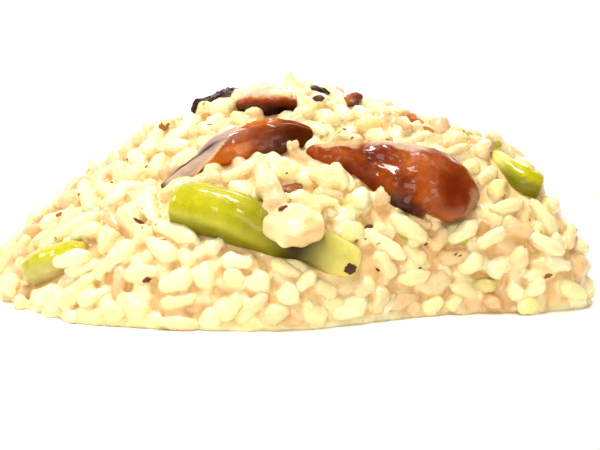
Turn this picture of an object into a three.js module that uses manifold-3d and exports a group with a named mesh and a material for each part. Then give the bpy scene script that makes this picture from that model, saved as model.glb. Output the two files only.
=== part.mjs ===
// A portion of mushroom risotto on its plain white plate: a low heap of cooked rice in a creamy
// sauce, with slices of brown mushroom and cut green asparagus lying in it.
//
// Millimetres, +Z up. The origin is on the table under the plate's centre, and -Y faces the diner.

import * as THREE from "three";
import { mergeVertices } from "three/addons/utils/BufferGeometryUtils.js";
import Module from "manifold-3d";

const wasm = await Module();
wasm.setup();

// ---------- driving dimensions ----------

// The plate is a flat coupe plate on a foot ring.
const PLATE = {
  rimRadius: 146,
  rimHeight: 12,
  wellRadius: 84,
  wellHeight: 6, // height of the surface that the heap lies on
  thickness: 4,
  lipThickness: 3,
  footOuter: 76,
  footInner: 70,
};

// The heap's outline is given by its radii at equal angles, anticlockwise from +X.
const HEAP = {
  outline: [58.5, 57, 57, 55, 55, 57, 62, 69, 73, 66, 60.5, 52.5, 48.5, 43.5, 47, 67.5],
  height: 46.5,
  roundness: 1.25, // how flat the crown is
  steepness: 0.53, // how steep the flank is at the plate: smaller is steeper
  lean: 0.17, // the right flank is fuller than the left by this share
};

// Broad low humps and dips in the heap: x, y, height, radius.
const HUMPS = [
  [-19, -1, 2.0, 8],
  [-25.5, -1, -2.0, 3.2],
  [-32, -5, 3.2, 6],
  [-49, -2, 2.6, 4.5],
  [-37, -2, 2.2, 4.5],
  [8, 4, 1.2, 4],
  [14, 16, 0.6, 13],
  [14, 3, -0.8, 5],
  [-14, 26, -1.4, 12],
  [30, 24, 1.2, 11],
  [64, -18, -22.0, 8],
  [31, -2, -1.6, 8],
  [33, -9, -1.2, 4],
  [45, -8, 2.2, 6],
  [58.5, -9, -2.0, 4.5],
];

const CONTACT_GAP = 0.3; // between separate pieces that rest on each other

// A cooked grain of short-grain rice, half lengths of its three axes, and how they vary.
const GRAIN = { halfLength: 4.4, halfWidth: 1.85, halfDepth: 1.7, variation: 0.14 };
const GRAIN_COUNT = 162;
const GRAIN_LIFT = 0.6; // height of a grain's centre above the sauce
const GRAIN_SPACING = 7.9;
const GRAIN_TILT = 0.28; // largest tilt out of the surface, in radians
const SEED = 20411;

// ---------- materials ----------

const material = (color, roughness) =>
  new THREE.MeshStandardMaterial({ color, roughness, metalness: 0 });
const MATERIALS = {
  porcelain: material(0xf6f5f1, 0.15),
  rice: material(0xf3e0b0, 0.35),
  mushroom: material(0x99481c, 0.25),
  mushroomSkin: material(0x3c2b2b, 0.4),
  asparagus: material(0xb9bc24, 0.25),
};

// ---------- solids and geometries ----------

// A closed three.js geometry as a manifold-3d solid. Corners closer than the tolerance become one.
function solidFrom(geometry, tolerance = 1e-4) {
  const bare = new THREE.BufferGeometry();
  const source = geometry.index ? geometry.toNonIndexed() : geometry;
  bare.setAttribute("position", source.getAttribute("position"));
  const merged = mergeVertices(bare, tolerance);
  const index = merged.index.array;
  const triangles = [];
  for (let i = 0; i < index.length; i += 3) {
    const [a, b, c] = [index[i], index[i + 1], index[i + 2]];
    if (a !== b && b !== c && c !== a) triangles.push(a, b, c);
  }
  return new wasm.Manifold(
    new wasm.Mesh({
      numProp: 3,
      vertProperties: merged.attributes.position.array,
      triVerts: new Uint32Array(triangles),
    }),
  );
}

function geometryFrom(solid) {
  const { vertProperties, triVerts } = solid.getMesh();
  const geometry = new THREE.BufferGeometry();
  geometry.setAttribute("position", new THREE.BufferAttribute(new Float32Array(vertProperties), 3));
  geometry.setIndex(new THREE.BufferAttribute(new Uint32Array(triVerts), 1));
  geometry.computeVertexNormals();
  return geometry;
}

// The largest body of a solid. Joining many pieces can leave loose scraps and sealed hollows.
function wholeBody(solid) {
  const bodies = solidFrom(geometryFrom(solid), 2e-3).decompose();
  return bodies.reduce((a, b) => (b.volume() > a.volume() ? b : a));
}

// Moves each vertex of a geometry by a function.
function reshaped(geometry, move) {
  const position = geometry.getAttribute("position");
  const point = new THREE.Vector3();
  for (let i = 0; i < position.count; i++) {
    move(point.fromBufferAttribute(position, i));
    position.setXYZ(i, point.x, point.y, point.z);
  }
  return geometry;
}

// A value read from a list of values that are evenly spaced over 0 to 1.
function along(values, t) {
  const at = THREE.MathUtils.clamp(t, 0, 1) * (values.length - 1);
  const low = Math.min(Math.floor(at), values.length - 2);
  return THREE.MathUtils.lerp(values[low], values[low + 1], at - low);
}

// Random numbers from 0 to 1, the same on every run.
function randomSource(seed) {
  let state = seed >>> 0;
  return () => {
    state = (Math.imul(state, 1664525) + 1013904223) >>> 0;
    return state / 4294967296;
  };
}

// ---------- the plate ----------

function plateGeometry() {
  const { rimRadius, rimHeight, wellRadius, wellHeight, footOuter, footInner } = PLATE;
  const { thickness, lipThickness } = PLATE;
  const upper = (r) => {
    const share = Math.max(0, (r - wellRadius) / (rimRadius - wellRadius));
    return wellHeight + (rimHeight - wellHeight) * share ** 1.7;
  };
  const lower = (r) =>
    upper(r) - THREE.MathUtils.mapLinear(r, footOuter, rimRadius, thickness, lipThickness);
  const underside = wellHeight - thickness;
  const lip = lipThickness / 2;
  const lipRadius = rimRadius - lip;
  const flareRadii = [94, 106, 119, 133];
  const lipAngles = [-45, 0, 45].map(THREE.MathUtils.degToRad);
  const profile = [
    [0, underside],
    [footInner - 2, underside],
    [footInner, 0],
    [footOuter, 0],
    [footOuter + 3, lower(footOuter + 3)],
    ...flareRadii.map((r) => [r, lower(r)]),
    [lipRadius, upper(lipRadius) - lipThickness],
    ...lipAngles.map((a) => [
      lipRadius + lip * Math.cos(a),
      upper(lipRadius) - lip + lip * Math.sin(a),
    ]),
    [lipRadius, upper(lipRadius)],
    ...flareRadii.toReversed().map((r) => [r, upper(r)]),
    [wellRadius, wellHeight],
    [0, wellHeight],
  ];
  const points = profile.map(([r, z]) => new THREE.Vector2(r, z));
  return new THREE.LatheGeometry(points, 40).rotateX(Math.PI / 2);
}

// ---------- the heap's surface ----------

// Radius of the heap's outline at an angle, a closed Catmull-Rom curve through HEAP.outline.
function outlineRadius(angle) {
  const { outline } = HEAP;
  const count = outline.length;
  const at = (((angle / (2 * Math.PI)) * count) % count + count) % count;
  const i = Math.floor(at);
  const f = at - i;
  const [a, b, c, d] = [-1, 0, 1, 2].map((k) => outline[(i + k + count) % count]);
  return (
    b + 0.5 * f * (c - a + f * (2 * a - 5 * b + 4 * c - d + f * (3 * (b - c) + d - a)))
  );
}

// Height of the heap's sauce above the plate's well.
function heapRise(x, y) {
  const angle = Math.atan2(y, x);
  const share = Math.hypot(x, y) / outlineRadius(angle);
  if (share >= 1) return 0;
  const power = HEAP.steepness - HEAP.lean * Math.cos(angle) * Math.min(1, 2 * share);
  const dome = HEAP.height * Math.pow(1 - Math.pow(share, HEAP.roundness), power);
  const humps = HUMPS.reduce(
    (sum, [hx, hy, high, wide]) =>
      sum + high * Math.exp(-((x - hx) ** 2 + (y - hy) ** 2) / (wide * wide)),
    0,
  );
  return dome + humps * (1 - share ** 4);
}

function heapNormal(x, y) {
  const step = 0.5;
  const slopeX = (heapRise(x + step, y) - heapRise(x - step, y)) / (2 * step);
  const slopeY = (heapRise(x, y + step) - heapRise(x, y - step)) / (2 * step);
  return new THREE.Vector3(-slopeX, -slopeY, 1).normalize();
}

// The point at a height above the heap, measured along the heap's normal.
function onHeap(x, y, lift) {
  return new THREE.Vector3(x, y, PLATE.wellHeight + heapRise(x, y)).addScaledVector(heapNormal(x, y), lift);
}

// The heap without its grains, standing proud of its own surface by the given amount.
function heapCore(proud) {
  const shares = [1, 0.98, 0.93, 0.84, 0.71, 0.55, 0.38, 0.22, 0.08];
  const profile = [
    new THREE.Vector2(0, 0),
    ...shares.map((share) => new THREE.Vector2(share, 1)),
    new THREE.Vector2(0, 1),
  ];
  const floor = PLATE.wellHeight + CONTACT_GAP;
  const rim = new THREE.Vector2(1, 0);
  profile.splice(1, 0, rim);
  const unit = new THREE.LatheGeometry(profile, 34).rotateX(Math.PI / 2);
  return solidFrom(
    reshaped(unit, (p) => {
      const angle = Math.atan2(p.y, p.x);
      const share = Math.hypot(p.x, p.y);
      const radius = share * (outlineRadius(angle) + proud);
      const inside = share * outlineRadius(angle) * 0.9999;
      const rise = heapRise(inside * Math.cos(angle), inside * Math.sin(angle));
      const isTop = p.z > 0.5;
      const lip = 1.2; // the sauce ends in a thick rounded edge
      p.x = radius * Math.cos(angle);
      p.y = radius * Math.sin(angle);
      p.z = isTop ? PLATE.wellHeight + Math.max(rise, lip) + proud : floor - proud;
    }),
  );
}

// ---------- pieces that follow a path on the heap ----------

// The way out of the heap at a point, as for the half of an egg that the heap resembles.
function outward(point) {
  const [a, b, c] = [66, 50, 47];
  return new THREE.Vector3(
    point.x / a ** 2,
    point.y / b ** 2,
    (point.z - PLATE.wellHeight) / c ** 2,
  ).normalize();
}

// A closed body swept along a path of points. widths run along the heap's surface and depths out
// of it, both as half sizes from the path's start to its end. bluntness runs from round ends (1) to
// square ends (0). roll turns the section about the path, in degrees: the edge that is higher up the
// heap comes out of it. The section is an ellipse where square is 2, and boxier above that. extra
// makes the whole body thicker.
function swept(shape, extra = 0) {
  const { path, widths, depths, bluntness = 0.5, roll = 0, square = 2, sides = 10, rings = 10 } = shape;
  const points = path.map((p) => new THREE.Vector3(...p));
  const curve = new THREE.CatmullRomCurve3(points, false, "centripetal");
  const unit = new THREE.SphereGeometry(1, sides, rings);
  return solidFrom(
    reshaped(unit, (p) => {
      const t = (1 - p.y) / 2;
      const turn = Math.atan2(p.z, p.x);
      const [side, up] = [Math.cos(turn), Math.sin(turn)];
      const boxiness = (Math.abs(side) ** square + Math.abs(up) ** square) ** (-1 / square);
      const fullness = Math.hypot(p.x, p.z) ** bluntness * boxiness;
      const centre = curve.getPoint(t);
      const forward = curve.getTangent(t);
      const across = new THREE.Vector3().crossVectors(outward(centre), forward).normalize();
      across.applyAxisAngle(forward, THREE.MathUtils.degToRad(roll));
      const out = new THREE.Vector3().crossVectors(forward, across);
      p.copy(centre)
        .addScaledVector(across, (along(widths, t) + extra) * fullness * side)
        .addScaledVector(out, (along(depths, t) + extra) * fullness * up)
        .addScaledVector(forward, extra * (2 * t - 1));
    }),
  );
}

// ---------- the toppings ----------

const stalk = (path, radii) => ({
  path,
  widths: radii,
  depths: radii,
  bluntness: 0.28,
  sides: 12,
  rings: 9,
  material: MATERIALS.asparagus,
});
const slice = (path, widths, depths, more = {}) => ({
  path,
  widths,
  depths,
  material: MATERIALS.mushroom,
  ...more,
});

const TOPPINGS = {
  mushroom_slice_front: slice(
    [
      [1.3, -27.1, 39.9],
      [7.8, -26.6, 39.5],
      [14.3, -27, 38],
      [21.1, -28.2, 35.5],
      [27.9, -29.6, 33.3],
      [31.9, -31.2, 30.3],
      [33.3, -32, 26.1],
    ],
    [2.4, 4.0, 5.0, 7.2, 8.4, 8.0, 5.4],
    [1.8, 2.4, 2.8, 3.4, 3.8, 3.6, 2.8],
    { roll: 25, sides: 12, rings: 14 },
  ),
  mushroom_slice_left: slice(
    [
      [-30, -27.5, 32.5],
      [-23.6, -26.3, 36.5],
      [-17.4, -25.5, 39.8],
      [-10.9, -24.6, 42.3],
      [-4.3, -24.6, 43.4],
      [2.8, -23.6, 43.7],
    ],
    [1.4, 1.9, 3.3, 4.5, 4.8, 3.5],
    [1.0, 1.3, 2.0, 2.4, 2.6, 2.2],
    { roll: 35, sides: 12, rings: 12 },
  ),
  mushroom_slice_crest: slice(
    [[-14, -8, 49.3], [-7.3, -10.9, 50], [-0.7, -10.4, 49.7]],
    [3.0, 3.7, 3.0],
    [2.4, 2.8, 2.5],
    { bluntness: 0.35, roll: 20, square: 3.4, sides: 12 },
  ),
  mushroom_skin_strip: slice(
    [
      [-23.8, -6, 46],
      [-24.2, -4.8, 49],
      [-20.9, -4, 50.2],
      [-16.9, -3, 51.4],
      [-13.8, -2.6, 52.1],
    ],
    [0.6, 0.7, 1.5, 2.0, 1.6],
    [0.6, 0.7, 0.8, 1.4, 1.0],
    { material: MATERIALS.mushroomSkin },
  ),
  mushroom_strip_crest: slice(
    [[0.9, -3, 52.9], [3.8, -3.4, 52.8], [7, -3, 51.6]],
    [0.9, 1.3, 0.9],
    [0.5, 0.6, 0.5],
    { sides: 8, rings: 6, material: MATERIALS.mushroomSkin },
  ),
  mushroom_bit_crest: slice(
    [[10.6, -8.2, 49], [12.2, -7, 50.2], [14, -5.5, 51.4]],
    [1.4, 1.9, 1.2],
    [1.2, 1.6, 1.1],
    { sides: 8, rings: 6 },
  ),
  mushroom_bit_right: slice(
    [[22.4, -9.2, 46.7], [25.6, -9.8, 46.3], [28.9, -11, 44.8]],
    [1.0, 1.5, 1.0],
    [0.8, 1.1, 0.8],
    { sides: 8, rings: 6 },
  ),
  asparagus_front: stalk(
    [
      [-26.6, -35.4, 29.8],
      [-17.5, -38.3, 28.6],
      [-7.9, -41, 25.5],
      [1.7, -41.8, 22],
      [11.9, -40.4, 17.9],
    ],
    [5.9, 5.9, 5.3, 4.8, 4.8],
  ),
  asparagus_left: stalk([[-59.8, -23.6, 13], [-54, -27.6, 15.8], [-46, -31.4, 19]], [3.9, 4.1, 3.6]),
  asparagus_right: stalk(
    [[43.4, -15, 38.5], [45.6, -19.6, 35.6], [48.8, -21.8, 33.4], [53, -22, 32]],
    [2.0, 2.7, 3.8, 4.0],
  ),
  asparagus_sunk: stalk([[37, -32.9, 12.1], [39.4, -33.6, 12.1], [41.8, -33, 12.1]], [1.4, 1.6, 1.4]),
};

// A peppercorn fleck stuck to the right end of the front stalk: its centre and half sizes.
const STALK_FLECK = { centre: [10.5, -44.5, 17.7], size: [1.3, 0.8, 1.1] };

function flattened(centre, size) {
  return solidFrom(new THREE.SphereGeometry(1, 6, 4).scale(...size).translate(...centre));
}

const toppingSolids = Object.entries(TOPPINGS).map(([name, shape]) => {
  const solid = swept(shape);
  const hasFleck = name === "asparagus_front";
  return [name, hasFleck ? solid.add(flattened(STALK_FLECK.centre, STALK_FLECK.size)) : solid];
});
const toppingSpace = wasm.Manifold.union([
  flattened(STALK_FLECK.centre, STALK_FLECK.size.map((half) => half + CONTACT_GAP)),
  ...Object.values(TOPPINGS).map((shape) => swept(shape, CONTACT_GAP)),
]);

// ---------- rice ----------

// Rice stuck together under thick sauce, as single lumps: path, half widths, half depths. The first
// two are a branch and a lobe that hang over the front asparagus, and the last is the grain that
// stands on the crown.
const LUMPS = [
  [
    [[-8.4, -29.3, 38.2], [-7.4, -34.5, 35.6], [-6.2, -39.8, 32.4], [-4.2, -43.4, 29.6]],
    [1.6, 2.1, 2.5, 3.2],
    [1.6, 1.9, 2.2, 2.8],
  ],
  [[[-7.4, -43.6, 27], [-2, -46, 27], [4.8, -44, 27.2]], [3.6, 4.5, 4.0], [2.6, 3.4, 2.8]],
  [[[-6.4, -41.6, 31], [-6.3, -44.6, 25]], [2.2, 2.0], [2.0, 2.0]],
  [[[-3, -39.4, 30.6], [4.6, -38.6, 29.6]], [2.8, 2.4], [2.6, 2.2]],
  [[[-8.4, -29.9, 37.4], [1.9, -32, 36.1]], [2.0, 2.0], [1.9, 1.9]],
  [[[-0.4, -31.8, 36.8], [4.9, -32.6, 35.6], [10.2, -32.8, 33.4]], [1.9, 2.8, 2.5], [1.8, 2.5, 2.3]],
  [[[1.8, -37.8, 31], [8.2, -37.6, 30]], [1.6, 1.5], [1.5, 1.4]],
  [[[7, -39.4, 26.8], [11.2, -36.2, 28.9]], [2.0, 1.9], [1.8, 1.8]],
  [[[11, -33.6, 32.2], [14, -35.2, 29.6]], [2.4, 2.3], [2.2, 2.1]],
  [[[-3, -3, 56.5], [-0.8, -3, 50.2]], [1.8, 2.1], [1.7, 1.9]],
];

// Flecks of pepper and dark mushroom skin as large as a lentil: x, y, half length.
const FLECKS = [
  [-33.8, -34, 1.5],
  [-31.4, -44.2, 1.0],
  [14.5, -36, 1.1],
  [33.6, -32.8, 1.1],
  [-2.4, -33.9, 1.9],
];
const LOBE_FLECK = { centre: [-3.6, -42.4, 31.2], size: [1.2, 0.9, 0.9] };

function grainAt(x, y, heading, tilt, scale, lift) {
  const normal = heapNormal(x, y);
  const east = new THREE.Vector3(1, 0, 0).addScaledVector(normal, -normal.x).normalize();
  const north = new THREE.Vector3().crossVectors(normal, east);
  const axis = east
    .multiplyScalar(Math.cos(heading))
    .addScaledVector(north, Math.sin(heading))
    .multiplyScalar(Math.cos(tilt))
    .addScaledVector(normal, Math.sin(tilt));
  const across = new THREE.Vector3().crossVectors(axis, normal).normalize();
  const up = new THREE.Vector3().crossVectors(across, axis);
  const frame = new THREE.Matrix4().makeBasis(
    across.multiplyScalar(scale.width),
    axis.multiplyScalar(scale.length),
    up.multiplyScalar(scale.depth),
  );
  frame.setPosition(onHeap(x, y, lift));
  return solidFrom(new THREE.SphereGeometry(1.06, 6, 3).applyMatrix4(frame));
}

// Grains spread evenly over the heap, clear of the toppings and of the plate.
function looseGrains() {
  const random = randomSource(SEED);
  const vary = () => 1 + GRAIN.variation * (2 * random() - 1);
  const placed = [];
  const solids = [];
  for (let tries = 0; solids.length < GRAIN_COUNT && tries < 12000; tries++) {
    const angle = 2 * Math.PI * random();
    const climb = random(); // how far up the flank, even by area
    const radius = outlineRadius(angle) * (1 - climb ** 2) ** (1 / HEAP.roundness);
    const [x, y] = [radius * Math.cos(angle), radius * Math.sin(angle)];
    const centre = onHeap(x, y, GRAIN_LIFT);
    const heading = Math.PI * random();
    const tilt = GRAIN_TILT * (2 * random() - 1);
    const scale = {
      length: GRAIN.halfLength * vary(),
      width: GRAIN.halfWidth * vary(),
      depth: GRAIN.halfDepth * vary(),
    };
    if (placed.some((other) => other.distanceTo(centre) < GRAIN_SPACING)) continue;
    const grain = grainAt(x, y, heading, tilt, scale, GRAIN_LIFT);
    if (grain.boundingBox().min[2] < PLATE.wellHeight + CONTACT_GAP) continue;
    if (!grain.intersect(toppingSpace).isEmpty()) continue;
    placed.push(centre);
    solids.push(grain);
  }
  return solids;
}

function heapGeometry() {
  const lumps = LUMPS.map(([path, widths, depths]) =>
    swept({ path, widths, depths, sides: 7, rings: 3 + path.length }).subtract(toppingSpace),
  );
  const flecks = FLECKS.map(([x, y, size]) =>
    grainAt(x, y, 0.4, 0.2, { length: size, width: size * 0.7, depth: size * 0.6 }, 1.3),
  );
  flecks.push(flattened(LOBE_FLECK.centre, LOBE_FLECK.size));
  const pieces = [heapCore(0), ...lumps, ...flecks, ...looseGrains()];
  return geometryFrom(wholeBody(wasm.Manifold.union(pieces)));
}

// ---------- the object ----------

const part = new THREE.Group();

function add(name, geometry, finish) {
  const mesh = new THREE.Mesh(geometry, finish);
  mesh.name = name;
  part.add(mesh);
}

add("plate", plateGeometry(), MATERIALS.porcelain);
add("rice_heap", heapGeometry(), MATERIALS.rice);

const heapSpace = heapCore(CONTACT_GAP);
for (const [name, solid] of toppingSolids) {
  add(name, geometryFrom(wholeBody(solid.subtract(heapSpace))), TOPPINGS[name].material);
}

export default part;
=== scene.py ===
import math
import random
from collections import namedtuple

import bmesh
import bpy
import numpy as np
from mathutils import Matrix, Quaternion, Vector, bvhtree, kdtree, noise


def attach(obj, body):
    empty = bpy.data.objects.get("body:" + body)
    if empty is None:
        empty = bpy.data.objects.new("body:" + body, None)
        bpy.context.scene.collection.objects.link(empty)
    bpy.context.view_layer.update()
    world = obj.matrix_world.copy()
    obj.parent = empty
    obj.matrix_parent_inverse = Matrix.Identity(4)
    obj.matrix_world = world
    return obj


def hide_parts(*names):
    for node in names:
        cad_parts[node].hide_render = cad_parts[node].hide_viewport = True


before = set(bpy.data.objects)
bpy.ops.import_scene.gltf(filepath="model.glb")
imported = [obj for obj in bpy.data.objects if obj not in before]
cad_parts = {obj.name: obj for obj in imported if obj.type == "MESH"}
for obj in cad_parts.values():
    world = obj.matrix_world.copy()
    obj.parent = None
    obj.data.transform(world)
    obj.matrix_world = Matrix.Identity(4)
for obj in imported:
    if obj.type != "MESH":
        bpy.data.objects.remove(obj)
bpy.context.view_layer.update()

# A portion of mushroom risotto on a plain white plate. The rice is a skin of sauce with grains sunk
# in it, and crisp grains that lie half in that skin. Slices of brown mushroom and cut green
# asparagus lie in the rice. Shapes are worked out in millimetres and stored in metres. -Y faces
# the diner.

MM = 0.001


# ---------- the camera's view ----------

IMAGE_WIDTH, IMAGE_HEIGHT = 600, 450
VIEW_TARGET = Vector((0, -25.5, 24))
VIEW_DISTANCE = 290
VIEW_ELEVATION = math.radians(8.5)
VIEW_ANGLE = math.radians(25.5)
FOCAL = IMAGE_WIDTH / 2 / math.tan(VIEW_ANGLE / 2)  # in pixels

view_back = Vector((0, -math.cos(VIEW_ELEVATION), math.sin(VIEW_ELEVATION)))
view_up = Vector((0, math.sin(VIEW_ELEVATION), math.cos(VIEW_ELEVATION)))
view_eye = VIEW_TARGET + view_back * VIEW_DISTANCE


def sight_line(px, py):
    """The direction from the eye through a point of the picture."""
    across = Vector((px - IMAGE_WIDTH / 2, 0, 0))
    return (across + view_up * (IMAGE_HEIGHT / 2 - py) - view_back * FOCAL).normalized()


# ---------- the heap's form ----------

WELL = 6.0  # height of the plate's well
# Radii of the heap's foot, evenly spaced round it from +X towards +Y.
OUTLINE = np.array((58.5, 57, 57, 55, 55, 57, 62, 69, 73, 66, 60.5, 52.5, 48.5, 43.5, 47, 67.5))
HEAP_HEIGHT = 46.5
HEAP_ROUNDNESS = 1.25
HEAP_STEEPNESS = 0.53
HEAP_LEAN = 0.17
HUMPS = (  # x, y, height, radius
    (-19, -1, 2.0, 8),
    (-25.5, -1, -2.0, 3.2),
    (-32, -5, 3.2, 6),
    (-49, -2, 2.6, 4.5),
    (-37, -2, 2.2, 4.5),
    (8, 4, 1.2, 4),
    (14, 16, 0.6, 13),
    (14, 3, -0.8, 5),
    (-14, 26, -1.4, 12),
    (30, 24, 1.2, 11),
    (64, -18, -22.0, 8),
    (31, -2, -1.6, 8),
    (33, -9, -1.2, 4),
    (45, -8, 2.2, 6),
    (58.5, -9, -2.0, 4.5),
)


def outline_radius(angle):
    """Radius of the heap's foot: a smooth closed curve through the outline's points."""
    count = len(OUTLINE)
    at = np.mod(angle / (2 * math.pi) * count, count)
    low = np.floor(at).astype(int)
    f = at - low
    a, b, c, d = (OUTLINE[(low + k) % count] for k in (-1, 0, 1, 2))
    return b + 0.5 * f * (c - a + f * (2 * a - 5 * b + 4 * c - d + f * (3 * (b - c) + d - a)))


def heap_rise(x, y):
    """Height of the sauce above the well."""
    angle = np.arctan2(y, x)
    share = np.hypot(x, y) / outline_radius(angle)
    inside = np.minimum(share, 1)
    power = HEAP_STEEPNESS - HEAP_LEAN * np.cos(angle) * np.minimum(1, 2 * inside)
    dome = HEAP_HEIGHT * (1 - inside**HEAP_ROUNDNESS) ** power
    humps = sum(
        high * np.exp(-((x - hx) ** 2 + (y - hy) ** 2) / wide**2)
        for hx, hy, high, wide in HUMPS
    )
    return np.where(share < 1, dome + humps * (1 - inside**4), 0.0)


def heap_slope(x, y):
    step = 0.5
    return (
        (heap_rise(x + step, y) - heap_rise(x - step, y)) / (2 * step),
        (heap_rise(x, y + step) - heap_rise(x, y - step)) / (2 * step),
    )


def heap_normal(x, y):
    slope_x, slope_y = heap_slope(x, y)
    return Vector((-float(slope_x), -float(slope_y), 1)).normalized()


def on_heap(x, y, lift):
    foot = Vector((x, y, WELL + float(heap_rise(x, y))))
    return foot + heap_normal(x, y) * lift


def seen_on_heap(px, py, lift=0.0):
    """The point of the heap that shows at a point of the picture, moved out of the heap."""
    ray = sight_line(px, py)
    near, far, step = 200, 400, 0.25
    reach = np.arange(near, far, step)
    x, y, z = (view_eye[k] + ray[k] * reach for k in range(3))
    under = np.nonzero((z < WELL + heap_rise(x, y)) & (z > WELL))[0]
    if not len(under):
        return None
    k = under[0]
    return Vector((x[k], y[k], z[k])) + heap_normal(x[k], y[k]) * lift


def outward(point):
    """The way out of the heap at a point, as for the half of an egg that the heap resembles."""
    a, b, c = 66, 50, 47
    return Vector((point.x / a**2, point.y / b**2, (point.z - WELL) / c**2)).normalized()


# ---------- meshes ----------


def mesh_piece(name, mesh, material, slot):
    """A finished piece from a mesh in millimetres."""
    mesh.transform(Matrix.Scale(MM, 4))
    mesh.polygons.foreach_set("use_smooth", [True] * len(mesh.polygons))
    mesh.materials.clear()
    mesh.materials.append(material)
    piece = bpy.data.objects.new(name, mesh)
    bpy.context.scene.collection.objects.link(piece)
    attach(piece, "root")
    return piece


def mesh_from(bm, name):
    mesh = bpy.data.meshes.new(name)
    bm.to_mesh(mesh)
    bm.free()
    return mesh


def add_values(mesh, name, values):
    """Stores one number for each vertex, for the material to read."""
    layer = mesh.attributes.new(name, "FLOAT", "POINT")
    layer.data.foreach_set("value", np.asarray(values, np.float32))


def vertex_array(mesh):
    points = np.empty(len(mesh.vertices) * 3, np.float32)
    mesh.vertices.foreach_get("co", points)
    return points.reshape(-1, 3).astype(float)


def along(values, t):
    """A value read from values that are evenly spaced over 0 to 1."""
    at = min(max(t, 0), 1) * (len(values) - 1)
    low = min(int(at), len(values) - 2)
    return values[low] + (values[low + 1] - values[low]) * (at - low)


class Path:
    """A smooth curve through points: a centripetal Catmull-Rom curve."""

    def __init__(self, points):
        self.points = [Vector(p) for p in points]

    def at(self, t):
        p = self.points
        where = min(max(t, 0), 1) * (len(p) - 1)
        i = min(int(where), len(p) - 2)
        f = where - i
        p1, p2 = p[i], p[i + 1]
        p0 = p[i - 1] if i > 0 else p1 * 2 - p2
        p3 = p[i + 2] if i + 2 < len(p) else p2 * 2 - p1
        d0, d1, d2 = ((b - a).length ** 0.5 for a, b in ((p0, p1), (p1, p2), (p2, p3)))
        m1 = ((p1 - p0) / d0 - (p2 - p0) / (d0 + d1) + (p2 - p1) / d1) * d1
        m2 = ((p2 - p1) / d1 - (p3 - p1) / (d1 + d2) + (p3 - p2) / d2) * d1
        return (
            p1
            + m1 * f
            + (p1 * -3 + p2 * 3 - m1 * 2 - m2) * f**2
            + (p1 * 2 - p2 * 2 + m1 + m2) * f**3
        )

    def tangent(self, t):
        step = 0.0001
        return (self.at(min(t + step, 1)) - self.at(max(t - step, 0))).normalized()


def swept(
    path,
    widths,
    depths,
    bluntness=0.5,
    roll=0,
    square=2,
    sides=40,
    rings=48,
    relief=None,
    marks=None,
):
    """A closed body along a path.

    widths run along the heap's surface, depths out of it. roll turns the section about the path,
    in degrees: the edge that is higher up the heap comes out of it. A section is an ellipse where
    square is 2, and boxier above that. At each vertex, t runs from 0 to 1 along the path, and side
    and up from -1 to 1 across it. relief(t, side, up, point) gives how far the skin stands out
    there, and marks(t, side, up, point) the numbers by name that the mesh keeps there for its
    material."""
    curve = Path(path)
    bm = bmesh.new()
    bmesh.ops.create_uvsphere(bm, u_segments=sides, v_segments=rings, radius=1)
    names = sorted(marks(0.5, 0, 0, Vector())) if marks else []
    layers = [bm.verts.layers.float.new(name) for name in names]
    for vert in bm.verts:
        x, y, z = vert.co
        t = (1 - z) / 2
        ring = math.hypot(x, y)
        turn = math.atan2(y, x)
        side, up = math.cos(turn), math.sin(turn)
        fullness = ring**bluntness if ring > 1e-6 else 0
        fullness *= (abs(side) ** square + abs(up) ** square) ** (-1 / square)
        centre = curve.at(t)
        forward = curve.tangent(t)
        across = outward(centre).cross(forward).normalized()
        across.rotate(Quaternion(forward, math.radians(roll)))
        out = forward.cross(across)
        wide = along(widths, t) * fullness * side
        deep = along(depths, t) * fullness * up
        place = centre + across * wide + out * deep
        if relief:
            push = relief(t, side, up, place)
            place += (across * side + out * up) * push * min(1, ring * 1.5)
        vert.co = place
        if marks:
            found = marks(t, side, up, place)
            for layer, name in zip(layers, names):
                vert[layer] = found[name]
    bmesh.ops.recalc_face_normals(bm, faces=bm.faces)
    return bm


# ---------- materials ----------


class Number:
    """A number that varies over a surface. Arithmetic on it adds Math nodes."""

    def __init__(self, finish, socket):
        self.finish = finish
        self.socket = socket

    def maths(self, operation, *terms):
        node = self.finish.node(
            "ShaderNodeMath", {"operation": operation}, dict(enumerate(terms))
        )
        return Number(self.finish, node.outputs[0])

    def __add__(self, other):
        return self.maths("ADD", self, other)

    def __sub__(self, other):
        return self.maths("SUBTRACT", self, other)

    def __rsub__(self, other):
        return self.maths("SUBTRACT", other, self)

    def __mul__(self, other):
        return self.maths("MULTIPLY", self, other)

    __radd__ = __add__
    __rmul__ = __mul__


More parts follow.
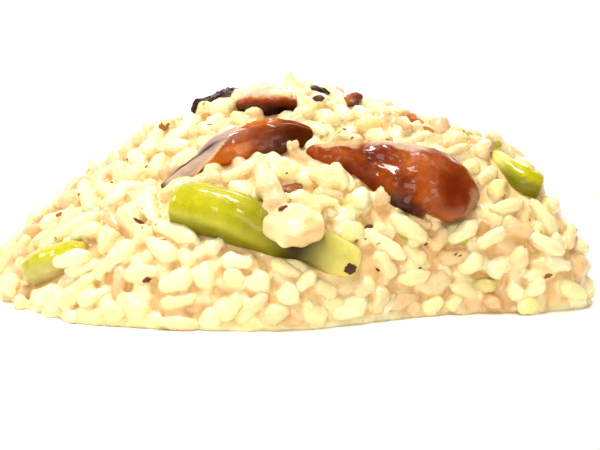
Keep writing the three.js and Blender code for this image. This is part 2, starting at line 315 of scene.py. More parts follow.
class Finish:
    """A material that is being made up from nodes."""

    def __init__(self, name):
        self.material = bpy.data.materials.new(name)
        self.material.use_nodes = True
        self.tree = self.material.node_tree
        self.tree.nodes.clear()
        self.place = self.node("ShaderNodeTexCoord").outputs["Object"]

    def node(self, kind, settings=None, sockets=None):
        """Adds a node, with its settings made first and its sockets joined or set after them."""
        node = self.tree.nodes.new(kind)
        for key, value in (settings or {}).items():
            if key == "stops":
                ramp = node.color_ramp
                while len(ramp.elements) < len(value):
                    ramp.elements.new(0.5)
                for stop, (position, colour) in zip(ramp.elements, value):
                    stop.position = position
                    stop.color = (*colour, 1)
            else:
                setattr(node, key, value)
        for key, value in (sockets or {}).items():
            socket = node.inputs[key]
            if isinstance(value, Number):
                value = value.socket
            if isinstance(value, bpy.types.NodeSocket):
                self.tree.links.new(value, socket)
            elif socket.type == "RGBA" and len(value) == 3:
                socket.default_value = (*value, 1)
            else:
                socket.default_value = value
        return node

    def value(self, name):
        """A number that the mesh keeps for each vertex."""
        node = self.node("ShaderNodeAttribute", {"attribute_name": name})
        return Number(self, node.outputs["Fac"])

    def noise(self, scale, detail=3, roughness=0.55, distortion=0.0):
        node = self.node(
            "ShaderNodeTexNoise",
            {"noise_dimensions": "3D"},
            {
                "Vector": self.place,
                "Scale": scale,
                "Detail": detail,
                "Roughness": roughness,
                "Distortion": distortion,
            },
        )
        return Number(self, node.outputs["Fac"])

    def ramp(self, number, low, high, start=0.0, end=1.0):
        """A number that runs smoothly from start to end as another runs from low to high."""
        node = self.node(
            "ShaderNodeMapRange",
            {"interpolation_type": "SMOOTHSTEP", "clamp": True},
            {"Value": number, "From Min": low, "From Max": high, "To Min": start, "To Max": end},
        )
        return Number(self, node.outputs[0])

    def mix(self, amount, first, second):
        """A colour between two colours."""
        node = self.node(
            "ShaderNodeMix",
            {"data_type": "RGBA", "blend_type": "MIX", "clamp_factor": True},
            {0: amount, 6: first, 7: second},
        )
        return node.outputs[2]

    def colours(self, number, stops):
        """A colour that a number picks from a row of positions and colours."""
        node = self.node("ShaderNodeValToRGB", {"stops": stops}, {0: number})
        return node.outputs["Color"]

    def bump(self, height, distance):
        """Fine relief, with its depth in metres."""
        sockets = {"Height": height, "Distance": distance}
        return self.node("ShaderNodeBump", {}, sockets).outputs["Normal"]

    def surface(self, sockets):
        shader = self.node("ShaderNodeBsdfPrincipled", {}, sockets)
        self.node("ShaderNodeOutputMaterial", {}, {"Surface": shader.outputs["BSDF"]})
        return self.material


def tint(red, green, blue):
    """A colour as it looks (0 to 255), as the even amounts of light that shaders take."""

    def even(c):
        c /= 255
        return c / 12.92 if c <= 0.04045 else ((c + 0.055) / 1.055) ** 2.4

    return (even(red), even(green), even(blue))


def porcelain():
    finish = Finish("white_glaze")
    broad = finish.noise(18, 2)
    fine = finish.noise(260, 2)
    height = Number(finish, finish.node("ShaderNodeSeparateXYZ", {}, {0: finish.place}).outputs[2])
    foot = finish.ramp(height, 0.0001, 0.0006, 1, 0)
    white = finish.mix(broad, tint(247, 246, 243), tint(251, 250, 248))
    return finish.surface(
        {
            "Base Color": finish.mix(foot, white, tint(226, 220, 208)),
            "Roughness": finish.ramp(fine, 0.3, 0.7, 0.36, 0.42) + foot * 0.3,
            "IOR": 1.45,
            "Coat Weight": 0.12,
            "Coat Roughness": 0.12,
            "Normal": finish.bump(broad + fine * 0.05, 0.0002),
        }
    )


def rice_and_sauce():
    """Cream-coloured grains, darker sauce between, and painted shade in hollows and towards +X."""
    finish = Finish("rice_in_sauce")
    height = finish.value("height")
    tone = finish.value("tone")
    cloudy = finish.noise(330, 3)
    grainy = finish.noise(1500, 2)
    broad = finish.noise(60, 2)
    level = height + cloudy * 0.6 - 0.3
    sauce = finish.mix(broad, tint(240, 206, 148), tint(249, 226, 172))
    rice = finish.colours(
        tone + cloudy * 0.24 - 0.12,
        (
            (0.0, tint(226, 184, 132)),
            (0.16, tint(240, 210, 156)),
            (0.45, tint(247, 228, 168)),
            (0.75, tint(251, 240, 194)),
            (1.0, tint(248, 228, 146)),
        ),
    )
    body = finish.mix(finish.ramp(level, -0.1, 0.9), sauce, rice)
    # Painted shade: towards +X and up on the heap the rice is painted darker and browner.
    axes = finish.node("ShaderNodeSeparateXYZ", {}, {0: finish.place}).outputs
    right_side_shade = finish.ramp(Number(finish, axes[0]), 0.012, 0.042, 0, 0.4)
    right_side_shade = right_side_shade * finish.ramp(Number(finish, axes[2]), 0.008, 0.016)
    right_side_shade = right_side_shade * finish.ramp(level, 0.3, 1.3, 1, 0.4)
    body = finish.mix(right_side_shade, body, tint(208, 172, 104))
    # Painted shade: the hollows, the sauce under the lobe and down-facing faces turn darker orange.
    hollow = finish.ramp(finish.value("standing") + cloudy * 0.2 - 0.1, -0.75, -0.05, 1, 0)
    body = finish.mix(hollow * 0.7, body, finish.mix(broad, tint(204, 150, 82), tint(230, 184, 110)))
    return finish.surface(
        {
            "Base Color": body,
            "Roughness": finish.ramp(cloudy, 0.3, 0.7, 0.22, 0.4),
            "IOR": 1.4,
            "Specular IOR Level": 0.4,
            "Subsurface Weight": 0.3,
            "Subsurface Radius": (1.0, 0.55, 0.22),
            "Subsurface Scale": 0.0016,
            "Coat Weight": finish.ramp(cloudy, 0.4, 0.6, 0.25, 1.0),
            "Coat Roughness": 0.07,
            "Coat IOR": 1.45,
            "Normal": finish.bump(cloudy + grainy * 0.45, 0.0005),
        }
    )


def mushroom_flesh(name, colours):
    """Wet cooked mushroom. colours(finish, streaks) gives the body's colour."""
    finish = Finish(name)
    streaks = finish.noise(240, 4, 0.62, distortion=0.5)
    mottle = finish.noise(620, 4, 0.6)
    ripple = finish.noise(170, 2)
    return finish.surface(
        {
            "Base Color": colours(finish, streaks),
            "Roughness": finish.ramp(mottle, 0.3, 0.75, 0.2, 0.4),
            "IOR": 1.4,
            "Specular IOR Level": 0.1,
            "Subsurface Weight": 0.1,
            "Subsurface Radius": (1.0, 0.4, 0.15),
            "Subsurface Scale": 0.0015,
            "Coat Weight": finish.ramp(ripple, 0.42, 0.58, 0.12, 1.0),
            "Coat Roughness": 0.04,
            "Coat IOR": 1.3,
            "Normal": finish.bump(ripple + mottle * 0.3 + streaks * 0.4, 0.0008),
        }
    )


def masked(finish, name, noise, spread=0.5):
    """A mark that the mesh keeps, with an uneven edge."""
    return finish.ramp(finish.value(name) + noise * spread - spread / 2, 0.3, 0.7)


def braised_colours(finish, streaks):
    """Orange-brown and redder in the folds, with a grey-pink smear of cream and a thin grey rim."""
    broad = finish.noise(120, 3)
    body = finish.colours(
        streaks * 0.6 + broad * 0.7 - 0.15,
        (
            (0.22, tint(94, 30, 2)),
            (0.42, tint(132, 54, 8)),
            (0.58, tint(154, 72, 16)),
            (0.85, tint(178, 98, 36)),
        ),
    )
    body = finish.mix(finish.value("red") * (0.4 + broad), body, tint(104, 26, 2))
    tan = finish.mix(streaks, tint(182, 132, 78), tint(222, 184, 130))
    body = finish.mix(masked(finish, "tan", streaks, 0.7), body, tan)
    smear = finish.mix(streaks, tint(174, 130, 104), tint(224, 198, 172))
    body = finish.mix(masked(finish, "smear", broad, 0.9) * 0.85, body, smear)
    rim = finish.mix(streaks, tint(112, 72, 42), tint(190, 156, 122))
    body = finish.mix(masked(finish, "rim", streaks, 0.8) * 0.8, body, rim)
    # Painted shade where the mark 'dark' says, under the slice.
    return finish.mix(finish.value("dark") * (0.7 + streaks * 0.6), body, tint(44, 12, 2))


def slice_colours(finish, streaks):
    """A cut slice: dark skin on one edge, a band of pale flesh, and an orange-brown gill side."""
    gill = finish.colours(
        streaks,
        (
            (0.25, tint(120, 42, 0)),
            (0.5, tint(158, 68, 4)),
            (0.78, tint(190, 102, 26)),
        ),
    )
    # Brighter orange on the gill side, and a painted highlight along the ridge near the far end.
    glow = finish.mix(streaks, tint(196, 96, 4), tint(220, 128, 28))
    body = finish.mix(masked(finish, "glow", streaks, 0.6) * 0.6, gill, glow)
    flesh = finish.mix(streaks, tint(160, 124, 112), tint(214, 188, 162))
    body = finish.mix(masked(finish, "flesh", streaks, 0.3), body, flesh)
    body = finish.mix(masked(finish, "edge", streaks, 0.3) * 0.7, body, tint(240, 204, 150))
    body = finish.mix(finish.value("violet") * (0.4 + streaks * 0.8), body, tint(158, 134, 132))
    body = finish.mix(finish.value("skin") * (0.6 + streaks), body, tint(54, 32, 30))
    # Darker towards the far end, with painted shade low on the gill side and underneath.
    dark = finish.mix(streaks, tint(36, 8, 0), tint(86, 30, 4))
    return finish.mix(finish.value("dark") * (0.6 + streaks * 0.8), body, dark)


def crest_colours(finish, streaks):
    """A thick slice: pale cream upper face, orange-brown side, and painted shade underneath."""
    level = finish.value("level")
    return finish.colours(
        level + streaks * 0.24 - 0.12,
        (
            (0.28, tint(36, 8, 2)),
            (0.42, tint(82, 26, 2)),
            (0.55, tint(136, 54, 4)),
            (0.6, tint(160, 80, 26)),
            (0.68, tint(208, 164, 128)),
            (0.96, tint(230, 202, 174)),
        ),
    )


def streaked(*stops):
    """The colours of a small scrap, which only follow its streaks."""
    return lambda finish, streaks: finish.colours(streaks, stops)


skin_colours = streaked((0.3, tint(38, 24, 22)), (0.55, tint(72, 52, 48)), (0.75, tint(134, 112, 98)))
brown_colours = streaked((0.3, tint(54, 22, 14)), (0.5, tint(112, 54, 28)), (0.72, tint(196, 112, 52)))
gold_colours = streaked((0.3, tint(150, 84, 30)), (0.5, tint(198, 132, 58)), (0.72, tint(228, 178, 96)))


def asparagus_skin(name, coated=0.0):
    """Wet green skin. coated says how much more of it lies under cream."""
    finish = Finish(name)
    fibres = finish.value("fibre")
    mottle = finish.noise(330, 4, 0.6)
    broad = finish.noise(80, 2)
    body = finish.colours(
        mottle * 0.35 + broad * 0.6 + fibres * 0.06,
        (
            (0.25, tint(152, 146, 0)),
            (0.42, tint(176, 170, 4)),
            (0.58, tint(192, 186, 12)),
            (0.8, tint(208, 202, 40)),
        ),
    )
    # Painted shade where the mark 'shade' says, under the lobe and along the underside; less coat
    # there.
    body = finish.mix(finish.value("shade") * (0.85 + mottle * 0.4), body, tint(40, 22, 0))
    body = finish.mix(masked(finish, "cut", mottle, 0.3) * 0.7, body, tint(222, 206, 104))
    body = finish.mix(finish.value("pale") * (0.5 + mottle * 0.7), body, tint(232, 220, 120))
    body = finish.mix(finish.value("film") * (0.4 + mottle), body, tint(200, 182, 116))
    cream = finish.ramp(mottle + broad * 0.6 + coated, 1.2, 1.6) * 0.85
    body = finish.mix(cream, body, tint(232, 208, 140))
    return finish.surface(
        {
            "Base Color": body,
            "Roughness": finish.ramp(mottle, 0.3, 0.7, 0.25, 0.45),
            "IOR": 1.4,
            "Specular IOR Level": 0.15,
            "Subsurface Weight": 0.25,
            "Subsurface Radius": (0.8, 1.0, 0.2),
            "Subsurface Scale": 0.002,
            "Coat Weight": finish.ramp(broad, 0.3, 0.6, 0.5, 1.0) * (1 - finish.value("shade")),
            "Coat Roughness": 0.1,
            "Coat IOR": 1.45,
            "Normal": finish.bump(mottle + fibres * 0.12, 0.0006),
        }
    )


def plain_floor():
    """Pale matt paper that light shines through from behind, more so towards the back."""
    finish = Finish("pale_paper")
    cloud = finish.noise(6, 2)
    depth = Number(finish, finish.node("ShaderNodeSeparateXYZ", {}, {0: finish.place}).outputs[1])
    glow = finish.ramp(depth, 0.16, 0.6)
    return finish.surface(
        {
            "Base Color": finish.mix(cloud, tint(200, 199, 197), tint(204, 203, 201)),
            "Roughness": 0.7,
            "Emission Color": finish.mix(glow, tint(20, 20, 20), tint(250, 250, 250)),
            "Emission Strength": 1.0,
        }
    )


# ---------- the plate ----------

RIM_RADIUS, RIM_HEIGHT = 146, 12
WELL_RADIUS = 84
PLATE_THICKNESS, LIP_THICKNESS = 4, 3
FOOT_OUTER, FOOT_INNER = 76, 70


def plate_profile():
    def upper(r):
        share = max(0, (r - WELL_RADIUS) / (RIM_RADIUS - WELL_RADIUS))
        return WELL + (RIM_HEIGHT - WELL) * share**1.7

    def lower(r):
        share = (r - FOOT_OUTER) / (RIM_RADIUS - FOOT_OUTER)
        return upper(r) - PLATE_THICKNESS - (LIP_THICKNESS - PLATE_THICKNESS) * share

    lip = LIP_THICKNESS / 2
    lip_radius = RIM_RADIUS - lip
    flare = [WELL_RADIUS + k * 3 for k in range(1, 20)]
    flare = [r for r in flare if r < lip_radius]
    underside = WELL - PLATE_THICKNESS
    profile = [(0, underside), (FOOT_INNER - 3, underside), (FOOT_INNER - 1.2, underside - 0.4)]
    profile += [(FOOT_INNER - 0.2, 0.3), (FOOT_INNER + 0.6, 0), (FOOT_OUTER - 0.8, 0)]
    profile += [(FOOT_OUTER, 0.3), (FOOT_OUTER + 1.4, lower(FOOT_OUTER + 3) - 0.5)]
    profile += [(FOOT_OUTER + 3, lower(FOOT_OUTER + 3))]
    profile += [(r, lower(r)) for r in flare]
    profile += [
        (
            lip_radius + lip * math.cos(math.radians(a)),
            upper(lip_radius) - lip + lip * math.sin(math.radians(a)),
        )
        for a in range(-90, 91, 18)
    ]
    profile += [(r, upper(r)) for r in reversed(flare)]
    profile += [(WELL_RADIUS - 4 * k, WELL) for k in range(0, 20, 3)] + [(0, WELL)]
    return profile


def make_plate():
    bm = bmesh.new()
    verts = [bm.verts.new((r, 0, z)) for r, z in plate_profile()]
    edges = [bm.edges.new(pair) for pair in zip(verts, verts[1:])]
    bmesh.ops.spin(
        bm,
        geom=verts + edges,
        cent=(0, 0, 0),
        axis=(0, 0, 1),
        angle=2 * math.pi,
        steps=160,
        use_merge=True,
        use_duplicate=False,
    )
    bmesh.ops.remove_doubles(bm, verts=bm.verts, dist=0.001)
    bmesh.ops.recalc_face_normals(bm, faces=bm.faces)
    piece = mesh_piece("glazed_plate", mesh_from(bm, "glazed_plate"), porcelain(), "porcelain")
    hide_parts("plate")


make_plate()


# ---------- the toppings ----------


def waves(place, size, scale):
    """Uneven swells: size is their height, and scale their width."""
    return noise.noise(place / scale) * size


def bell(value, centre, spread):
    """1 at the centre, falling smoothly to nearly 0 at twice the spread."""
    return math.exp(-(((value - centre) / spread) ** 2))


def rising(value, low, high):
    """0 below low, 1 above high, and a smooth rise between."""
    share = min(1, max(0, (value - low) / (high - low)))
    return share * share * (3 - 2 * share)


def front_relief(t, side, up, place):
    """The big slice is folded lengthwise, with a crease above its near edge."""
    ribs = math.sin(place.x * 0.8 + place.z * 0.3) * 0.14 * max(0, up)
    crease = -0.9 * bell(t, 0.4, 0.13) * bell(side, 0.1, 0.25) * max(0, up)
    rim = -0.8 * bell(side, 0.62, 0.16) * max(0, up) * rising(t, 0.6, 0.8)
    lumps = waves(place, 1.0, 6.5) + waves(place, 0.5, 3.2) + waves(place, 0.22, 1.5)
    return ribs + crease + rim + lumps


def front_marks(t, side, up, place):
    top = rising(up, -0.5, 0.1)
    near = rising(-side, 0.25, 0.7)
    under = rising(-side, 0.35, 0.8) * rising(-up, -0.95, -0.4)
    return {
        "tan": top * bell(t, 0.16, 0.13) * rising(side, 0.1, 0.6),
        "smear": top * bell(t, 0.45, 0.17) * rising(side, 0.5, 0.85),
        "red": max(
            top * bell(t, 0.36, 0.1) * bell(side, 0.35, 0.35),
            bell(t, 0.81, 0.13) * bell(side, 0.25, 0.65),
            0.9 * bell(t, 0.26, 0.08) * near,
        ),
        "rim": rising(t, 0.74, 0.95) * rising(side, 0.45, 0.85),
        # Painted shade under the near edge's belly and on the underside.
        "dark": max(under * bell(t, 0.6, 0.2), rising(-up, 0.4, 0.7)),
    }


def left_relief(t, side, up, place):
    """The slice's cut edge stands up in a thin ridge and its gills run lengthwise."""
    ridge = 0.35 * bell(side, flesh_edge(t), 0.12) * max(0, up)
    fold = -0.5 * bell(side, 0.72, 0.1) * max(0, up)
    gills = math.sin(side * 15) * 0.06 * max(0, -side)
    return ridge + fold + gills + waves(place, 0.7, 5) + waves(place, 0.25, 1.8)


def flesh_edge(t):
    """Where the pale cut face ends, across the slice: it narrows towards the far end."""
    return -1.3 + 4.8 * max(0, t - 0.12)


def left_marks(t, side, up, place):
    edge = flesh_edge(t)
    ridge = bell(side, 0.8, 0.35) * rising(up, -0.2, 0.3)
    return {
        "flesh": rising(side - edge, -0.08, 0.08),
        "edge": bell(side, edge, 0.1) * rising(up, -0.1, 0.2) * rising(t, 0.1, 0.2),
        "skin": max(
            bell(side, 0.98 - 1.1 * t, 0.16) * max(bell(t, 0.33, 0.1), 0.85 * bell(t, 0.18, 0.15)),
            0.7 * rising(-t, -0.05, -0.01),
        ),
        "violet": bell(side, 1.05 - 1.1 * t, 0.34) * bell(t, 0.38, 0.17),
        # Brighter orange on the gill side, and a painted highlight along the ridge near the far end.
        "glow": max(
            rising(up, -0.4, 0.2) * bell(t, 0.42, 0.2) * bell(side, -0.5, 0.6),
            bell(t, 0.72, 0.12) * ridge,
        ),
        # Darker towards the far end, with painted shade low on the gill side and underneath.
        "dark": max(
            rising(t - side * 0.08, 0.5, 0.88) * (0.95 - 0.5 * ridge),
            rising(-side, 0.2, 0.95) * bell(t, 0.74, 0.14),
            rising(-up, 0.5, 0.8),
        ),
    }


def crest_relief(t, side, up, place):
    return 0.35 * bell(up, 0.75, 0.2) * max(0, -side) + waves(place, 0.5, 3) + waves(place, 0.2, 1.2)


def crest_marks(t, side, up, place):
    return {"level": 0.44 + 0.3 * up + 0.2 * side}


def rough(*kinds):
    """A relief of waves alone, each kind with its size and its scale."""
    return lambda t, side, up, place: sum(waves(place, size, scale) for size, scale in kinds)


lump_relief = rough((1.3, 3.4), (0.5, 1.6))
strip_relief = rough((0.8, 1.9), (0.4, 0.8))
thin_relief = rough((0.4, 1.6), (0.2, 0.8))


TOPPINGS = {
    "mushroom_slice_front": dict(
        path=(
            (1.3, -27.1, 39.9),
            (7.8, -26.6, 39.5),
            (14.3, -27, 38),
            (21.1, -28.2, 35.5),
            (27.9, -29.6, 33.3),
            (31.9, -31.2, 30.3),
            (33.3, -32, 26.1),
        ),
        widths=(2.4, 4.0, 5.0, 7.2, 8.4, 8.0, 5.4),
        depths=(1.8, 2.4, 2.8, 3.4, 3.8, 3.6, 2.8),
        roll=25,
        relief=front_relief,
        marks=front_marks,
        sides=64,
        rings=80,
    ),
    "mushroom_slice_left": dict(
        path=(
            (-30, -27.5, 32.5),
            (-23.6, -26.3, 36.5),
            (-17.4, -25.5, 39.8),
            (-10.9, -24.6, 42.3),
            (-4.3, -24.6, 43.4),
            (2.8, -23.6, 43.7),
        ),
        widths=(1.4, 1.9, 3.3, 4.5, 4.8, 3.5),
        depths=(1.0, 1.3, 2.0, 2.4, 2.6, 2.2),
        roll=35,
        relief=left_relief,
        marks=left_marks,
        sides=64,
        rings=72,
    ),
    "mushroom_slice_crest": dict(
        path=((-14, -8, 49.3), (-7.3, -10.9, 50), (-0.7, -10.4, 49.7)),
        widths=(3.0, 3.7, 3.0),
        depths=(2.4, 2.8, 2.5),
        bluntness=0.35,
        roll=20,
        square=3.4,
        relief=crest_relief,
        marks=crest_marks,
    ),
    "mushroom_skin_strip": dict(
        path=(
            (-23.8, -6, 46),
            (-24.2, -4.8, 49),
            (-20.9, -4, 50.2),
            (-16.9, -3, 51.4),
            (-13.8, -2.6, 52.1),
        ),
        widths=(0.6, 0.7, 1.5, 2.0, 1.6),
        depths=(0.6, 0.7, 0.8, 1.4, 1.0),
        relief=strip_relief,
    ),
    "mushroom_strip_crest": dict(
        path=((0.9, -3, 52.9), (3.8, -3.4, 52.8), (7, -3, 51.6)),
        widths=(0.9, 1.3, 0.9),
        depths=(0.5, 0.6, 0.5),
        relief=thin_relief,
    ),
    "mushroom_bit_crest": dict(
        path=((10.6, -8.2, 49), (12.2, -7, 50.2), (14, -5.5, 51.4)),
        widths=(1.4, 1.9, 1.2),
        depths=(1.2, 1.6, 1.1),
        relief=strip_relief,
    ),
    "mushroom_bit_right": dict(
        path=((22.4, -9.2, 46.7), (25.6, -9.8, 46.3), (28.9, -11, 44.8)),
        widths=(1.0, 1.5, 1.0),
        depths=(0.8, 1.1, 0.8),
        relief=thin_relief,
    ),
}

STALKS = {
    "asparagus_front": (
        (
            (-26.6, -35.4, 29.8),
            (-17.5, -38.3, 28.6),
            (-7.9, -41, 25.5),
            (1.7, -41.8, 22),
            (11.9, -40.4, 17.9),
        ),
        (5.9, 5.9, 5.3, 4.8, 4.8),
    ),
    "asparagus_left": (
        ((-59.8, -23.6, 13), (-54, -27.6, 15.8), (-46, -31.4, 19)),
        (3.9, 4.1, 3.6),
    ),
    "asparagus_right": (
        ((43.4, -15, 38.5), (45.6, -19.6, 35.6), (48.8, -21.8, 33.4), (53, -22, 32)),
        (2.0, 2.7, 3.8, 4.0),
    ),
    "asparagus_sunk": (
        ((37, -32.9, 12.1), (39.4, -33.6, 12.1), (41.8, -33, 12.1)),
        (1.4, 1.6, 1.4),
    ),
}


braised = mushroom_flesh("braised_mushroom", braised_colours)
sliced = mushroom_flesh("sliced_mushroom", slice_colours)
crested = mushroom_flesh("thick_mushroom_slice", crest_colours)
dark_skin = mushroom_flesh("mushroom_skin", skin_colours)
browned = mushroom_flesh("browned_mushroom", brown_colours)
golden = mushroom_flesh("golden_mushroom", gold_colours)
TOPPING_FINISH = {
    "mushroom_slice_front": (braised, "mushroom"),
    "mushroom_slice_left": (sliced, "mushroom"),
    "mushroom_slice_crest": (crested, "mushroom"),
    "mushroom_skin_strip": (dark_skin, "mushroom_skin"),
    "mushroom_strip_crest": (dark_skin, "mushroom_skin"),
    "mushroom_bit_crest": (browned, "mushroom"),
    "mushroom_bit_right": (golden, "mushroom"),
}

for node_name, shape in TOPPINGS.items():
    bm = swept(**shape)
    material, slot = TOPPING_FINISH[node_name]
    piece = mesh_piece(node_name + "_cooked", mesh_from(bm, node_name), material, slot)
    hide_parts(node_name)


# The marks of each stalk's own: painted shade where the lobe that hangs over it casts its shadow,
# how far its skin pales towards one end, and a film of sauce.
STALK_MARKS = {
    "asparagus_front": lambda t, side, x: {"shade": bell(x, 0.5, 9), "pale": rising(t, 0.68, 0.96)},
    "asparagus_left": lambda t, side, x: {"film": 0.8 * rising(-side, -0.2, 0.9)},
    "asparagus_right": lambda t, side, x: {"pale": rising(-t, -0.5, -0.2)},
    "asparagus_sunk": lambda t, side, x: {"film": 0.7},
}
STALK_RIDGES = 11


def fibre(side, up):
    return 0.5 + 0.5 * math.cos(math.atan2(up, side) * STALK_RIDGES)


def stalk_relief(t, side, up, place):
    return 0.05 * fibre(side, up) + waves(place, 0.4, 5) + waves(place, 0.12, 1.3)


def make_stalk(node_name, path, radii, material):
    def marks(t, side, up, place):
        own = {"shade": 0, "pale": 0, "film": 0} | STALK_MARKS[node_name](t, side, place.x)
        # Painted shade along the stalk's underside.
        underside = 0.6 * rising(-side, 0.6, 0.98)
        return own | {
            "fibre": fibre(side, up),
            "cut": rising(abs(2 * t - 1), 0.955, 0.985),
            "shade": max(own["shade"], underside),
        }

    bm = swept(
        path, radii, radii, bluntness=0.28, sides=88, rings=60, relief=stalk_relief, marks=marks
    )
    piece = mesh_piece(node_name + "_cooked", mesh_from(bm, node_name), material, "asparagus")
    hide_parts(node_name)


clean_stalk = asparagus_skin("asparagus_stalk")
creamed_stalk = asparagus_skin("asparagus_stalk_in_cream", 0.24)
drowned_stalk = asparagus_skin("asparagus_under_sauce", 0.75)
STALK_FINISH = {
    "asparagus_front": clean_stalk,
    "asparagus_left": creamed_stalk,
    "asparagus_right": clean_stalk,
    "asparagus_sunk": drowned_stalk,
}
for node_name, (path, radii) in STALKS.items():
    make_stalk(node_name, path, radii, STALK_FINISH[node_name])


# ---------- rice ----------

GRAIN_LENGTH, GRAIN_WIDTH, GRAIN_DEPTH = 4.4, 1.85, 1.7  # half sizes
BROKEN_SHARE = 0.28  # of the grains
SPOTS_ALONG = (-1, -0.5, 0, 0.5, 1)  # where along a grain its clearance is tested
draw = random.Random(20411)

# half holds a grain's three half sizes, tone its colour from 0 to 1, and bend how far it curves.
Grain = namedtuple("Grain", "centre axis normal half tone bend")


class GrainLot:
    """Grains that are placed one by one, and the spots that later ones can keep clear of."""

    def __init__(self):
        self.grains = []
        self.spots = np.empty((0, 3))
        self.radii = np.empty(0)

    def clear(self, spots, radius, crowding):
        """Whether there is room at the spots. crowding is the share of its girth to keep free."""
        if not len(self.radii):
            return True
        gap = np.linalg.norm(self.spots[None, :, :] - spots[:, None, :], axis=2)
        return bool((gap > (self.radii[None, :] + radius) * crowding).all())

    def add(self, grain, crowding=0):
        """Adds the grain unless it is in another's place, which doesn't matter at crowding 0."""
        reach = grain.half[0] - grain.half[1]
        spots = np.array([grain.centre + grain.axis * reach * k for k in SPOTS_ALONG])
        if crowding and not self.clear(spots, grain.half[1], crowding):
            return False
        self.spots = np.vstack((self.spots, spots))
        self.radii = np.concatenate((self.radii, np.full(len(spots), grain.half[1])))
        self.grains.append(grain)
        return True


def grain_sizes():
    """Most grains are whole; some are short, plump or broken."""

    def vary(share):
        return 1 + share * draw.uniform(-1, 1)

    broken = draw.uniform(0.6, 0.85) if draw.random() < BROKEN_SHARE else 1
    plump = 1.12 if broken < 1 else 1
    length = GRAIN_LENGTH * vary(0.14) * broken
    return (length, GRAIN_WIDTH * vary(0.22) * plump, GRAIN_DEPTH * vary(0.18) * plump)


def grain_axis(normal, heading, tilt):
    """The way that a grain points: heading turns it on the surface, and tilt lifts it."""
    east = Vector((1, 0, 0)) - normal * normal.x
    east.normalize()
    north = normal.cross(east)
    flat = east * math.cos(heading) + north * math.sin(heading)
    return (flat * math.cos(tilt) + normal * math.sin(tilt)).normalized()


def topping_room():
    """Points inside the toppings, and the radius round each that grains keep clear of."""
    points, radii = [], []
    steps = 24
    for shape in TOPPINGS.values():
        curve = Path(shape["path"])
        for t in (k / steps for k in range(steps + 1)):
            wide, deep = along(shape["widths"], t), along(shape["depths"], t)
            ease = (1 - abs(2 * t - 1) ** 3) ** 0.5
            across = outward(curve.at(t)).cross(curve.tangent(t)).normalized()
            points += [curve.at(t) + across * wide * s * ease for s in (-0.6, 0, 0.6)]
            radii += [max(deep, wide * 0.45) * ease] * 3
    for path, stalk_radii in STALKS.values():
        curve = Path(path)
        for t in (k / steps for k in range(steps + 1)):
            points.append(curve.at(t))
            radii.append(along(stalk_radii, t))
    return np.array(points), np.array(radii)


topping_points, topping_radii = topping_room()


def off_toppings(centre, axis, reach, clearance):
    """Whether a grain stays clear of every topping."""
    for k in SPOTS_ALONG:
        spot = np.array(centre + axis * reach * k)
        gap = np.linalg.norm(topping_points - spot, axis=1)
        if (gap < topping_radii + clearance).any():
            return False
    return True


# Pools where the sauce drowns the rice: x, y, radius, depth.
POOLS = (
    (20, -47, 11, 1.5),
    (33, -41, 9, 1.2),
    (-6, -51, 13, 1.2),
    (50, -26, 8, 0.8),
    (-28, -45, 9, 0.7),
    (40, -24, 6, 0.7),
    (4, -30, 5, 0.7),
    (31, 3, 13, 1.4),
    (60, -3, 10, 2.0),
    (8, 7, 9, 1.8),
    (-22, 4, 5, 1.4),
    (63, -18, 8, 1.8),
    (17, 2, 7, 1.0),
)
# Places that grains keep clear of, as the diner sees them: point in the picture and half sizes.
# The first is a hollow between lumps, the last shows the tip of the cut slice, and the others show
# large flecks in the sauce.
CLEAR_PLACES = (
    (297, 190, 22, 12),
    (148, 281, 9, 8),
    (141, 222, 10, 7),
    (369, 227, 8, 7),
    (168, 180, 12, 8),
)


def sauce_depth(x, y):
    """How much deeper than usual a grain lies there."""
    return sum(
        deep * math.exp(-((x - px) ** 2 + (y - py) ** 2) / wide**2) for px, py, wide, deep in POOLS
    )


def in_picture(points):
    """Places in the picture and distances from the eye, for rows of points."""
    away = np.asarray(points) - np.array(view_eye)
    depth = away @ np.array(-view_back)
    return away[:, 0] / depth * FOCAL, away @ np.array(view_up) / depth * FOCAL, depth


topping_x, topping_y, topping_depth = in_picture(topping_points)
topping_reach = topping_radii / topping_depth * FOCAL


COVER_SHARE = 0.85  # of a topping's half width, which grains keep off
GRAIN_MARGIN = 1.6  # pixels to keep free for each millimetre of a grain's half width


def hides_topping(centre, axis, half):
    """Whether a grain would cover a topping or a clear place, as the diner sees it."""
    spots = [centre + axis * (half[0] - half[1]) * k for k in (-1, 0, 1)]
    x, y, depth = in_picture(spots)
    for px, py, wide, high in CLEAR_PLACES:
        off = np.hypot((x + IMAGE_WIDTH / 2 - px) / wide, (IMAGE_HEIGHT / 2 - y - py) / high)
        if centre.y < 0 and (off < 1).any():
            return True
    for k in range(3):
        gap = np.hypot(topping_x - x[k], topping_y - y[k])
        near = gap < topping_reach * COVER_SHARE + half[1] * GRAIN_MARGIN
        if (near & (depth[k] < topping_depth)).any():
            return True
    return False


TRIES = 26000
MOST_SUNK, MOST_ON_TOP = 860, 560  # grains, if they find room in so many tries
LOWEST = WELL - 1.5  # a grain that would reach below this isn't laid


